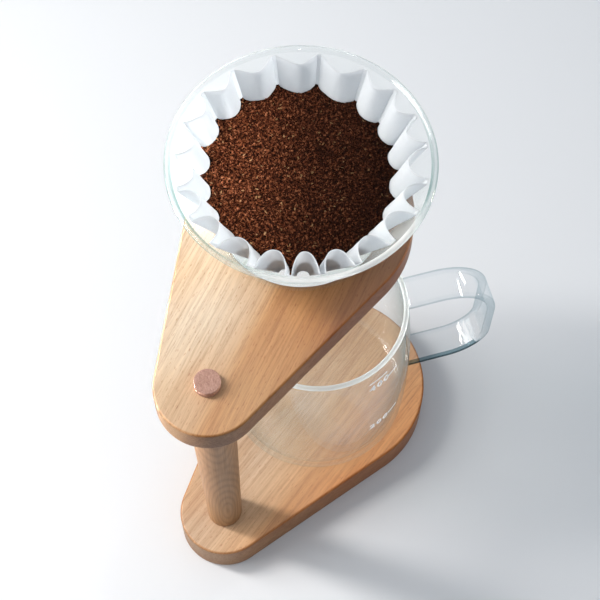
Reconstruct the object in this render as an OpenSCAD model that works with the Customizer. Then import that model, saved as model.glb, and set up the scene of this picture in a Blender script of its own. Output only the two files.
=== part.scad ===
// Pour-over coffee stand: a wooden base and a swivelling wooden arm on a
// turned post, a glass flat-bottomed dripper hanging in the arm with a pleated
// paper filter and a bed of coffee, and a glass jug under it.
// Millimetres, +Z up. The origin is on the underside of the base, at the
// centre of its wide round end. +X points from the post to the wide end.

/* [Boards] */
// radius of the narrow end of the base and of the arm
narrow_r = 24; // [18:0.5:32]
// radius of the wide end of the base and of the arm
wide_r = 52; // [46:0.5:60]
// distance between the two end centres
reach = 94; // [80:1:120]
// thickness of the base
base_t = 22; // [16:0.5:28]
// thickness of the arm
arm_t = 15; // [12:0.5:20]
// height of the arm's top face above the table
arm_top = 200; // [170:1:230]
// turn of the arm from the base's long axis, in degrees
arm_turn = 12; // [-90:1:90]

/* [Post and pivot] */
// radius of the post where it meets the base
post_low_r = 9; // [7:0.25:12]
// radius of the post under the arm
post_high_r = 11; // [8:0.25:14]
// radius of the post's tenon
tenon_r = 6.9; // [5:0.1:8]
// depth of the tenon in the base
tenon_l = 8; // [5:0.5:12]
// radius of the bolt shanks
bolt_r = 2.95; // [2:0.05:3.5]
// radius of the bolt heads
head_r = 5; // [4:0.1:6]
// radius of the wooden cap over the pivot
cap_r = 6; // [5:0.1:8]
// height that the cap stands above the arm
cap_proud = 4; // [0:0.25:5]

/* [Dripper] */
// outer radius of the dripper's rim
rim_r = 59; // [52:0.5:64]
// height of the rim above the arm's top face
rim_h = 47.6; // [40:0.2:56]
// radius of the ring that rests on the arm
ring_r = 40.8; // [38:0.2:46]
// thickness of that ring
ring_t = 3.7; // [2.5:0.1:5]
// radius of the arm's hole
hole_r = 37.5; // [34:0.25:40]
// inner radius of the dripper's floor
floor_r = 28.5; // [22:0.5:32]
// depth of the dripper's floor under the arm's top face
floor_d = 10; // [6:0.5:14]
// radius of each drain hole
drain_r = 2.5; // [1.5:0.1:4]
// distance of the drain holes from the axis
drain_at = 10; // [6:0.5:18]

/* [Filter] */
// number of pleats in the paper
pleats = 20; // [12:1:28]
// depth of a pleat at the top edge
pleat_top = 9.8; // [4:0.2:14]
// depth of a pleat at the floor
pleat_low = 3; // [1:0.2:6]
// thickness of the paper as modelled
paper_t = 0.8; // [0.4:0.1:1.5]
// gap between the paper and the glass
paper_gap = 1.4; // [1:0.1:3]
// points along one pleat
pleat_pts = 8; // [6:2:12]
// height of the coffee's edge above the arm's top face
coffee_h = 28; // [10:0.5:36]
// rise of the coffee from its edge to its middle
coffee_rise = 3; // [0:0.25:6]

/* [Jug] */
// outer radius of the jug at its widest
jug_r = 49; // [46:0.5:51]
// height of the jug's widest place above the table
jug_mid = 58; // [45:1:70]
// radius of the slow curve of the jug's wall
jug_curve = 600; // [500:10:1200]
// height of the jug
jug_h = 106; // [90:1:125]
// thickness of the jug's wall
jug_wall = 2.2; // [1.5:0.1:3.5]
// thickness of the jug's floor
jug_floor = 3; // [2:0.1:5]
// place of the jug on the base, along X
jug_x = -7.4; // [-20:0.1:10]
// place of the jug on the base, along Y
jug_y = 4.7; // [-15:0.1:15]
// direction of the handle, in degrees from +X
handle_turn = -37; // [-120:1:120]
// width of the handle's strap
strap_w = 17; // [12:0.5:22]
// thickness of the handle's strap
strap_t = 4.75; // [4:0.25:8]
// reach of the handle from the jug's axis
handle_reach = 95; // [85:0.5:105]
// height of the handle's lower edge above the table
handle_low = 38; // [32:0.5:50]
// height of the handle's upper edge above the table
handle_high = 118; // [105:0.5:125]
// outer radius of the handle's upper bend
bend_top = 33; // [22:0.5:36]
// outer radius of the handle's lower bend
bend_low = 22; // [16:0.5:28]

/* [Hidden] */
$fn = 96;
e = 0.01;
arm_low = arm_top - arm_t;
post_top = arm_low - 1;
pivot = [-reach, 0];
drip = [-reach + reach * cos(arm_turn), reach * sin(arm_turn)];
// tangent points of the boards' straight sides
tang = acos((narrow_r - wide_r) / reach);
inset = 0.06;
// dripper heights
seat_z = arm_top + 0.1;
floor_z = arm_top - floor_d;
rim_z = arm_top + rim_h;
bead_r = 1.2;
in_top_r = rim_r - 2 * bead_r + 0.2;
under_z = floor_z - 3.5;
foot_z = under_z - 2.5;
// inner radius of the dripper at a height
function glass_in(z) = floor_r + (in_top_r - floor_r) * (z - floor_z) / (rim_z - floor_z);
// filter heights and radii
paper_low = floor_z + 0.8;
paper_high = rim_z - 0.8;
function pleat_d(z) = pleat_low + (pleat_top - pleat_low) * (z - paper_low) / (paper_high - paper_low);
function wave(i) = abs(sin(180 * i / pleat_pts));
function fold_r(i, z, in) = glass_in(z) - paper_gap - pleat_d(z) * wave(i) - in;
n_fold = pleats * pleat_pts;
function fold_ring(z, in, zz) =
    [for (i = [0 : n_fold - 1]) let (a = 360 * i / n_fold, r = fold_r(i, z, in)) [r * cos(a), r * sin(a), zz]];
// coffee
coffee_low = paper_low + paper_t + 0.4;
coffee_edge = arm_top + coffee_h;
function coffee_r(z) = glass_in(z) - paper_gap - pleat_d(z) - paper_t - 0.8;
// jug heights
jug_z = base_t + 0.2;
jug_mouth = jug_r - jug_curve + sqrt(jug_curve * jug_curve - pow(jug_z + jug_h - 1.4 - jug_mid, 2));

wood = [0.78, 0.53, 0.31];
pale_wood = [0.86, 0.66, 0.45];
dark_wood = [0.50, 0.30, 0.22];
steel = [0.70, 0.70, 0.72];
brass = [0.80, 0.63, 0.30];
clear = [0.84, 0.90, 0.88, 0.35];
paper = [0.95, 0.93, 0.90];
brown = [0.22, 0.12, 0.07];
nylon = [0.92, 0.92, 0.90];

// outline of a board: two round ends and their common tangents,
// with the narrow end at the origin and the wide end along +X
module outline() {
    circle(r = narrow_r, $fn = 128);
    translate([reach, 0]) circle(r = wide_r, $fn = 128);
    // the straight sides run a hair inside the true tangents
    polygon([
        [(narrow_r - inset) * cos(tang), (narrow_r - inset) * sin(tang)],
        [(narrow_r - inset) * cos(tang), -(narrow_r - inset) * sin(tang)],
        [reach + (wide_r - inset) * cos(tang), -(wide_r - inset) * sin(tang)],
        [reach + (wide_r - inset) * cos(tang), (wide_r - inset) * sin(tang)]
    ]);
}

// flat ring
module washer(outer, inner, t) {
    difference() {
        cylinder(r = outer, h = t);
        translate([0, 0, -1]) cylinder(r = inner, h = t + 2);
    }
}

// cap screw with its head at the bottom and its shank pointing up
module cap_screw(head_h, length) {
    difference() {
        union() {
            cylinder(r = head_r, h = head_h);
            cylinder(r = bolt_r, h = head_h + length);
        }
        translate([0, 0, -1]) cylinder(r = 2.9, h = 3, $fn = 6);
    }
}

// threaded sleeve, with its thread drawn as a plain bore
module sleeve(length) {
    washer(4.5, bolt_r + 0.05, length);
}

// plate seen from the side, with two round corners at its far end
module loop_side(x0, x1, y0, y1, low_r, top_r) {
    translate([x0, y0]) square([x1 - x0 - low_r, y1 - y0 - top_r]);
    translate([x0, y0 + low_r]) square([x1 - x0 - top_r, y1 - y0 - low_r]);
    translate([x0, y0 + low_r]) square([x1 - x0, y1 - y0 - low_r - top_r]);
    translate([x1 - low_r, y0 + low_r]) circle(r = low_r);
    translate([x1 - top_r, y1 - top_r]) circle(r = top_r);
}

// half outline of a cup with a round foot corner
module cup_half(r, low, high, corner) {
    translate([0, low]) square([r - corner, high - low]);
    translate([0, low + corner]) square([r, high - low - corner]);
    translate([r - corner, low + corner]) circle(r = corner);
}

// half outline of a cup whose wall swells slowly to its widest place
module barrel_half(inset, low, high, corner) {
    intersection() {
        cup_half(jug_r - inset, low, high, corner);
        translate([jug_r - jug_curve, jug_mid]) circle(r = jug_curve - inset, $fn = 1440);
    }
}

module base_board() {
    color(wood)
    difference() {
        translate([pivot[0], 0, 0]) linear_extrude(height = base_t) outline();
        translate([pivot[0], 0, -1]) cylinder(r = 7, h = 8);
        translate([pivot[0], 0, 0]) cylinder(r = 3.2, h = base_t);
        translate([pivot[0], 0, base_t - tenon_l]) cylinder(r = tenon_r + 0.1, h = tenon_l + 1);
    }
}

module post() {
    color(pale_wood)
    translate([pivot[0], 0, 0])
    difference() {
        union() {
            translate([0, 0, base_t]) cylinder(r1 = post_low_r, r2 = post_high_r, h = post_top - base_t);
            translate([0, 0, base_t - tenon_l + 0.2]) cylinder(r = tenon_r, h = tenon_l);
        }
        translate([0, 0, base_t - tenon_l - 1]) cylinder(r = 4.5, h = 15);
        translate([0, 0, base_t]) cylinder(r = 3.2, h = 12);
        translate([0, 0, post_top - 16]) cylinder(r = 4.5, h = 17);
        translate([0, 0, post_top - 20]) cylinder(r = 3.2, h = 6);
    }
}

module bottom_insert() {
    color(brass)
    translate([pivot[0], 0, base_t - tenon_l + 0.2]) sleeve(13.8);
}

module base_bolt() {
    color(steel)
    translate([pivot[0], 0, 1.9]) cap_screw(4, 22);
}

module base_washer() {
    color(steel)
    translate([pivot[0], 0, 5.9]) washer(6.5, 3.1, 1.1);
}

module top_insert() {
    color(brass)
    translate([pivot[0], 0, post_top - 16]) sleeve(16);
}

module thrust_washer() {
    color(nylon)
    translate([pivot[0], 0, post_top]) washer(10.5, 3.2, 0.9);
}

module pivot_bolt() {
    color(steel)
    translate([pivot[0], 0, arm_low + 10.2]) mirror([0, 0, 1]) cap_screw(4, 21);
}

module pivot_washer() {
    color(steel)
    translate([pivot[0], 0, arm_low + 5.1]) washer(5.6, 3.1, 1.1);
}

module arm_board() {
    color(wood)
    translate([pivot[0], 0, arm_low])
    rotate([0, 0, arm_turn])
    difference() {
        linear_extrude(height = arm_t) outline();
        translate([reach, 0, -1]) cylinder(r = hole_r, h = arm_t + 2);
        translate([0, 0, -1]) cylinder(r = bolt_r + 0.06, h = arm_t);
        translate([0, 0, 5]) cylinder(r = cap_r, h = arm_t);
    }
}

module pivot_cap() {
    color(dark_wood)
    translate([pivot[0], 0, arm_low + 11]) {
        cylinder(r = cap_r - 0.02, h = arm_t - 11 + cap_proud - 0.8);
        translate([0, 0, arm_t - 11 + cap_proud - 0.8])
            cylinder(r1 = cap_r - 0.02, r2 = cap_r - 0.82, h = 0.8);
    }
}

module dripper_glass() {
    color(clear)
    translate([drip[0], drip[1], 0])
    difference() {
        rotate_extrude($fn = 128)
        difference() {
            union() {
                // cone wall and floor, solid to the axis
                polygon([
                    [0, under_z], [24, under_z], [24, foot_z], [27, foot_z],
                    [glass_in(under_z) + 3.2, under_z],
                    [glass_in(rim_z - bead_r) + 1.9, rim_z - bead_r], [0, rim_z - bead_r]
                ]);
                // ring that rests on the arm
                translate([ring_r - ring_t / 2, seat_z + ring_t / 2]) circle(r = ring_t / 2, $fn = 32);
                translate([20, seat_z]) square([ring_r - ring_t / 2 - 20, ring_t]);
                // rolled rim
                translate([rim_r - bead_r, rim_z - bead_r]) circle(r = bead_r, $fn = 32);
            }
            // hollow
            polygon([
                [-1, floor_z], [floor_r, floor_z],
                [glass_in(rim_z + 5), rim_z + 5], [-1, rim_z + 5]
            ]);
            translate([-2, 0]) square([2, 300]);
        }
        for (k = [0 : 2])
            rotate([0, 0, 120 * k + 30]) translate([drain_at, 0, under_z - 1]) cylinder(r = drain_r, h = 8, $fn = 32);
    }
}

module filter_paper() {
    color(paper)
    translate([drip[0], drip[1], 0])
    polyhedron(
        points = concat(
            fold_ring(paper_low, 0, paper_low),
            fold_ring(paper_high, 0, paper_high),
            fold_ring(paper_high, paper_t, paper_high),
            fold_ring(paper_low, paper_t, paper_low + paper_t),
            [[0, 0, paper_low], [0, 0, paper_low + paper_t]]
        ),
        faces = concat(
            // outside, top edge and inside of the wall
            [for (k = [0 : 2], i = [0 : n_fold - 1]) let (j = (i + 1) % n_fold)
                [k * n_fold + j, k * n_fold + i, (k + 1) * n_fold + i]],
            [for (k = [0 : 2], i = [0 : n_fold - 1]) let (j = (i + 1) % n_fold)
                [k * n_fold + j, (k + 1) * n_fold + i, (k + 1) * n_fold + j]],
            // underside and inside of the floor
            [for (i = [0 : n_fold - 1]) [4 * n_fold, i, (i + 1) % n_fold]],
            [for (i = [0 : n_fold - 1]) [4 * n_fold + 1, 3 * n_fold + (i + 1) % n_fold, 3 * n_fold + i]]
        )
    );
}

module coffee_bed() {
    color(brown)
    translate([drip[0], drip[1], 0])
    rotate_extrude($fn = 128)
    polygon(concat(
        [[0, coffee_low], [coffee_r(coffee_low), coffee_low]],
        [for (k = [0 : 8]) [coffee_r(coffee_edge) * (1 - k / 8), coffee_edge + coffee_rise * sin(90 * k / 8)]]
    ));
}

module server_body() {
    color(clear)
    translate([jug_x, jug_y, 0])
    rotate_extrude($fn = 128)
    difference() {
        union() {
            difference() {
                barrel_half(0, jug_z, jug_z + jug_h - 1.4, 3);
                barrel_half(jug_wall, jug_z + jug_floor, jug_z + jug_h + 5, 3);
            }
            // rolled rim
            translate([jug_mouth - 1.3, jug_z + jug_h - 1.4]) circle(r = 1.4, $fn = 32);
        }
        translate([-60, 0]) square([60, 300]);
    }
}

module server_handle() {
    color(clear)
    translate([jug_x, jug_y, 0])
    difference() {
        rotate([0, 0, handle_turn])
        rotate([90, 0, 0])
        linear_extrude(height = strap_w, center = true)
        difference() {
            loop_side(5, handle_reach, handle_low, handle_high, bend_low, bend_top);
            loop_side(-1, handle_reach - strap_t, handle_low + strap_t, handle_high - strap_t,
                      bend_low - strap_t, bend_top - strap_t);
        }
        rotate_extrude($fn = 128)
        difference() {
            barrel_half(0, jug_z, jug_z + jug_h + 10, 3);
            translate([-60, 0]) square([60, 300]);
        }
    }
}

base_board();
post();
bottom_insert();
base_bolt();
base_washer();
top_insert();
thrust_washer();
pivot_bolt();
pivot_washer();
arm_board();
pivot_cap();
dripper_glass();
filter_paper();
coffee_bed();
server_body();
server_handle();
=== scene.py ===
import math
import random

import bmesh
import bpy
import numpy as np
from mathutils import Matrix, Vector, noise


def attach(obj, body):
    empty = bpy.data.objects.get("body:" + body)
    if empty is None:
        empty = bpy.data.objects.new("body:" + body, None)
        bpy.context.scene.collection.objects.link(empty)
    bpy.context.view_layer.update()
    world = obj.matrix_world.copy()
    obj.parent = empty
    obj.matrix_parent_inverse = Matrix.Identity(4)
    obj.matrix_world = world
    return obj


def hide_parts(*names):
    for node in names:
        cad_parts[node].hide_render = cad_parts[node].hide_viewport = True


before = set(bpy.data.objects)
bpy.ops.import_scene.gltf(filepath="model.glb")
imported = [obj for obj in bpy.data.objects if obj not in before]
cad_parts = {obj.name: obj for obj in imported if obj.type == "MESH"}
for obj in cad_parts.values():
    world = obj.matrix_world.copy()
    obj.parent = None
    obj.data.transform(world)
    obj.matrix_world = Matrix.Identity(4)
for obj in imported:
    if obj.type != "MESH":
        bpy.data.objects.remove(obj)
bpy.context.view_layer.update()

MM = 0.001
rng = random.Random(7)

# ---------------------------------------------------------------- dimensions, in mm, as in the CAD model
NARROW, WIDE, REACH = 24.0, 52.0, 94.0
BASE_T, ARM_LOW, ARM_TOP = 22.0, 185.0, 200.0
TURN = math.radians(12)
PIVOT = (-94.0, 0.0)
DRIP = (-94.0 + 94.0 * math.cos(TURN), 94.0 * math.sin(TURN))
HOLE_R = 37.5
JUG = (-7.4, 4.7)
JUG_R, JUG_MID, JUG_CURVE, JUG_LOW, JUG_HIGH = 49.0, 58.0, 600.0, 22.2, 128.2
HANDLE_TURN = math.radians(-37)
FLOOR_Z, RIM_Z = 190.0, 247.6


def glass_in(z):
    return 28.5 + 28.3 * (z - FLOOR_Z) / (RIM_Z - FLOOR_Z)


def jug_wall(z):
    """Outer radius of the jug, which swells slowly to its widest place."""
    return JUG_R - JUG_CURVE + math.sqrt(JUG_CURVE ** 2 - (z - JUG_MID) ** 2)


# ---------------------------------------------------------------- small mesh tools
def make(name, verts, faces, smooth=True):
    me = bpy.data.meshes.new(name)
    me.from_pydata([(x * MM, y * MM, z * MM) for x, y, z in verts], [], faces)
    bm = bmesh.new()
    bm.from_mesh(me)
    bmesh.ops.recalc_face_normals(bm, faces=bm.faces)
    bm.to_mesh(me)
    bm.free()
    for p in me.polygons:
        p.use_smooth = smooth
    ob = bpy.data.objects.new(name, me)
    bpy.context.scene.collection.objects.link(ob)
    return ob


def arc(cx, cz, r, a0, a1, n):
    """Points on an arc in the (radius, height) plane, angles in degrees."""
    return [(cx + r * math.cos(math.radians(a0 + (a1 - a0) * k / n)),
             cz + r * math.sin(math.radians(a0 + (a1 - a0) * k / n))) for k in range(n + 1)]


def fillet(a, b, c, r, n=5):
    """Points that round the corner b between a and c."""
    a, b, c = (np.array(p, float) for p in (a, b, c))
    u, v = (a - b) / np.linalg.norm(a - b), (c - b) / np.linalg.norm(c - b)
    half = math.acos(max(-1, min(1, float(u @ v)))) / 2
    d = min(r / math.tan(half), 0.49 * np.linalg.norm(a - b), 0.49 * np.linalg.norm(c - b))
    r = d * math.tan(half)
    m = (u + v) / np.linalg.norm(u + v)
    o = b + m * r / math.sin(half)
    p, q = b + u * d - o, b + v * d - o
    a0, a1 = math.atan2(p[1], p[0]), math.atan2(q[1], q[0])
    da = (a1 - a0 + math.pi) % (2 * math.pi) - math.pi
    return [(o[0] + r * math.cos(a0 + da * k / n), o[1] + r * math.sin(a0 + da * k / n)) for k in range(n + 1)]


def rounded(points):
    """Open chain of (radius, height, corner radius) with each inner corner rounded."""
    out = [points[0][:2]]
    for p, q, s in zip(points, points[1:], points[2:]):
        out += fillet(p[:2], q[:2], s[:2], q[2]) if q[2] > 0 else [q[:2]]
    return out + [points[-1][:2]]


def split_long(profile, step):
    """Adds points along long stretches of a profile, so that quads stay even."""
    out = [profile[0]]
    for a, b in zip(profile, profile[1:]):
        n = max(1, int(math.hypot(b[0] - a[0], b[1] - a[1]) / step))
        out += [(a[0] + (b[0] - a[0]) * k / n, a[1] + (b[1] - a[1]) * k / n) for k in range(1, n + 1)]
    return out


def lathe(name, profile, n, centre):
    """Turns a chain of (radius, height) about a vertical axis. A point on the axis becomes a pole."""
    verts, rings = [], []
    for r, z in profile:
        if r < 1e-6:
            rings.append([len(verts)])
            verts.append((centre[0], centre[1], z))
        else:
            rings.append(list(range(len(verts), len(verts) + n)))
            verts += [(centre[0] + r * math.cos(2 * math.pi * k / n), centre[1] + r * math.sin(2 * math.pi * k / n), z) for k in range(n)]
    faces = []
    for a, b in zip(rings, rings[1:]):
        for k in range(n):
            j = (k + 1) % n
            if len(a) == 1 and len(b) == 1:
                continue
            if len(a) == 1:
                faces.append((a[0], b[k], b[j]))
            elif len(b) == 1:
                faces.append((a[k], a[j], b[0]))
            else:
                faces.append((a[k], a[j], b[j], b[k]))
    return make(name, verts, faces)


def teardrop(r1, r2, length, n1=56, n2=120):
    """Outline of two round ends and their tangents, narrow end at the origin."""
    t = math.acos((r1 - r2) / length)
    pts = [(length + r2 * math.cos(-t + 2 * t * k / n2), r2 * math.sin(-t + 2 * t * k / n2)) for k in range(n2 + 1)]
    side = 40
    a, b = (length + r2 * math.cos(t), r2 * math.sin(t)), (r1 * math.cos(t), r1 * math.sin(t))
    pts += [(a[0] + (b[0] - a[0]) * k / side, a[1] + (b[1] - a[1]) * k / side) for k in range(1, side)]
    s = 2 * math.pi - 2 * t
    pts += [(r1 * math.cos(t + s * k / n1), r1 * math.sin(t + s * k / n1)) for k in range(n1 + 1)]
    a, b = (r1 * math.cos(t), -r1 * math.sin(t)), (length + r2 * math.cos(t), -r2 * math.sin(t))
    pts += [(a[0] + (b[0] - a[0]) * k / side, a[1] + (b[1] - a[1]) * k / side) for k in range(1, side)]
    return pts


def board(name, low, high, turn, edge, hole=None):
    """Teardrop board with softened edges. hole is the radius of a round hole in the wide end.
    The float attribute side is 1 on the walls, and edge is 1 on the softened edges."""
    steps = 7
    levels = []  # (inset, height, side, edge)
    for k in range(steps + 1):
        a = math.pi / 2 * k / steps
        levels.append((edge * (1 - math.sin(a)), low + edge * (1 - math.cos(a)), k / steps, math.sin(2 * a)))
    for k in range(1, 5):
        levels.append((0, low + edge + (high - low - 2 * edge) * k / 5, 1, 0))
    for k in range(steps + 1):
        a = math.pi / 2 * (1 - k / steps)
        levels.append((edge * (1 - math.sin(a)), high - edge * (1 - math.cos(a)), 1 - k / steps, math.sin(2 * a)))
    c, s = math.cos(turn), math.sin(turn)
    place = lambda x, y, z: (PIVOT[0] + c * x - s * y, PIVOT[1] + s * x + c * y, z)
    verts, faces, side, edges, flat = [], [], [], [], []
    n = len(teardrop(NARROW, WIDE, REACH))
    for inset, z, sd, ed in levels:
        verts += [place(x, y, z) for x, y in teardrop(NARROW - inset, WIDE - inset, REACH)]
        side += [sd] * n
        edges += [ed] * n
    rows = len(levels)
    for r in range(rows - 1):
        faces += [(r * n + k, r * n + (k + 1) % n, (r + 1) * n + (k + 1) % n, (r + 1) * n + k) for k in range(n)]
    wall = len(faces)
    if hole is None:
        # caps of rings that close on the middle line
        for row in (0, rows - 1):
            z = verts[row * n][2]
            prev = row * n
            for f in (0.97, 0.8, 0.55, 0.25):
                start = len(verts)
                for k in range(n):
                    x0, y0, _ = verts[row * n + k]
                    u = (x0 - PIVOT[0]) * c + (y0 - PIVOT[1]) * s
                    m = min(max(u, 10), REACH)
                    mx, my, _ = place(m, 0, 0)
                    verts.append((mx + (x0 - mx) * f, my + (y0 - my) * f, z))
                side += [0] * n
                edges += [0] * n
                faces += [(prev + k, prev + (k + 1) % n, start + (k + 1) % n, start + k) for k in range(n)]
                prev = start
            faces.append(tuple(range(prev, prev + n)))
    else:
        # both faces run from the outline to the hole, and the hole has its own softened edges
        lip = 1.2
        outline = teardrop(NARROW - edge, WIDE - edge, REACH)
        ang = [math.atan2(y, x - REACH) for x, y in outline]
        ring = []
        for k in range(7):
            a = math.pi / 2 * k / 6
            ring.append((hole + lip * (1 - math.sin(a)), high - lip * (1 - math.cos(a)), 0.6 * k / 6, 0.5 * math.sin(2 * a)))
        for k in range(7):
            a = math.pi / 2 * (1 - k / 6)
            ring.append((hole + lip * (1 - math.sin(a)), low + lip * (1 - math.cos(a)), 0.6 * (1 - k / 6), 0.5 * math.sin(2 * a)))
        prev = (rows - 1) * n
        for f in (0.02, 0.3, 0.65):
            start = len(verts)
            verts += [place(x + (REACH + (hole + lip) * math.cos(a) - x) * f, y + ((hole + lip) * math.sin(a) - y) * f, high) for (x, y), a in zip(outline, ang)]
            side += [0] * n
            edges += [0] * n
            faces += [(prev + k, prev + (k + 1) % n, start + (k + 1) % n, start + k) for k in range(n)]
            prev = start
        for r, z, sd, ed in ring:
            start = len(verts)
            verts += [place(REACH + r * math.cos(a), r * math.sin(a), z) for a in ang]
            side += [sd] * n
            edges += [ed] * n
            faces += [(prev + k, prev + (k + 1) % n, start + (k + 1) % n, start + k) for k in range(n)]
            prev = start
        for f in (0.35, 0.7, 0.98):
            start = len(verts)
            verts += [place(REACH + (hole + lip) * math.cos(a) + (x - REACH - (hole + lip) * math.cos(a)) * f, (hole + lip) * math.sin(a) + (y - (hole + lip) * math.sin(a)) * f, low) for (x, y), a in zip(outline, ang)]
            side += [0] * n
            edges += [0] * n
            faces += [(prev + k, prev + (k + 1) % n, start + (k + 1) % n, start + k) for k in range(n)]
            prev = start
        faces += [(prev + k, prev + (k + 1) % n, (k + 1) % n, k) for k in range(n)]
    ob = make(name, verts, faces)
    for p in ob.data.polygons:
        if abs(p.normal.z) > 0.9999:
            p.use_smooth = False
    for label, values in (("side", side), ("edge", edges)):
        at = ob.data.attributes.new(label, "FLOAT", "POINT")
        at.data.foreach_set("value", np.array(values, np.float32))
    return ob


# ---------------------------------------------------------------- node helper and materials
class Nodes:
    def __init__(self, name):
        self.mat = bpy.data.materials.new(name)
        self.mat.use_nodes = True
        self.tree = self.mat.node_tree
        self.bsdf = next(n for n in self.tree.nodes if n.type == "BSDF_PRINCIPLED")
        self.out = next(n for n in self.tree.nodes if n.type == "OUTPUT_MATERIAL")

    def add(self, kind, **values):
        n = self.tree.nodes.new(kind)
        for k, v in values.items():
            if k in n.inputs and not hasattr(n, k):
                n.inputs[k].default_value = v
            else:
                setattr(n, k, v)
        return n

    def link(self, a, b):
        self.tree.links.new(a, b)
        return b

    def coords(self, scale, rot=0.0, offset=(0, 0, 0)):
        tc = self.add("ShaderNodeTexCoord")
        turn = self.add("ShaderNodeMapping")
        turn.inputs["Rotation"].default_value = (0, 0, -rot)
        self.link(tc.outputs["Object"], turn.inputs["Vector"])
        m = self.add("ShaderNodeMapping")
        m.inputs["Scale"].default_value = scale
        m.inputs["Location"].default_value = offset
        self.link(turn.outputs["Vector"], m.inputs["Vector"])
        return m.outputs["Vector"]

    def noise(self, vector, scale=1.0, detail=3.0, rough=0.55, distort=0.0):
        n = self.add("ShaderNodeTexNoise")
        n.inputs["Scale"].default_value = scale
        n.inputs["Detail"].default_value = detail
        n.inputs["Roughness"].default_value = rough
        n.inputs["Distortion"].default_value = distort
        self.link(vector, n.inputs["Vector"])
        return n.outputs["Fac"]

    def ramp(self, fac, stops, interpolation="LINEAR"):
        n = self.add("ShaderNodeValToRGB")
        n.color_ramp.interpolation = interpolation
        els = n.color_ramp.elements
        while len(els) < len(stops):
            els.new(0.5)
        for e, (p, c) in zip(els, stops):
            e.position = p
            e.color = c if len(c) == 4 else (*c, 1)
        self.link(fac, n.inputs["Fac"])
        return n.outputs["Color"]

    def mix(self, fac, a, b, mode="MIX"):
        n = self.add("ShaderNodeMix")
        n.data_type = "RGBA"
        n.blend_type = mode
        for sock, v in ((n.inputs[0], fac), (n.inputs[6], a), (n.inputs[7], b)):
            if isinstance(v, bpy.types.NodeSocket):
                self.link(v, sock)
            else:
                sock.default_value = v if not isinstance(v, tuple) or len(v) == 4 else (*v, 1)
        return n.outputs[2]

    def math(self, op, a, b=0.0):
        n = self.add("ShaderNodeMath")
        n.operation = op
        for sock, v in ((n.inputs[0], a), (n.inputs[1], b)):
            if isinstance(v, bpy.types.NodeSocket):
                self.link(v, sock)
            else:
                sock.default_value = v
        return n.outputs[0]

    def attribute(self, name):
        n = self.add("ShaderNodeAttribute")
        n.attribute_name = name
        return n.outputs["Fac"]

    def bump(self, height, strength, distance):
        n = self.add("ShaderNodeBump")
        n.inputs["Strength"].default_value = strength
        n.inputs["Distance"].default_value = distance
        self.link(height, n.inputs["Height"])
        self.link(n.outputs["Normal"], self.bsdf.inputs["Normal"])

    def set(self, **values):
        for k, v in values.items():
            key = k.replace("_", " ")
            self.bsdf.inputs[key].default_value = v if not isinstance(v, tuple) or len(v) == 4 else (*v, 1)


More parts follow.
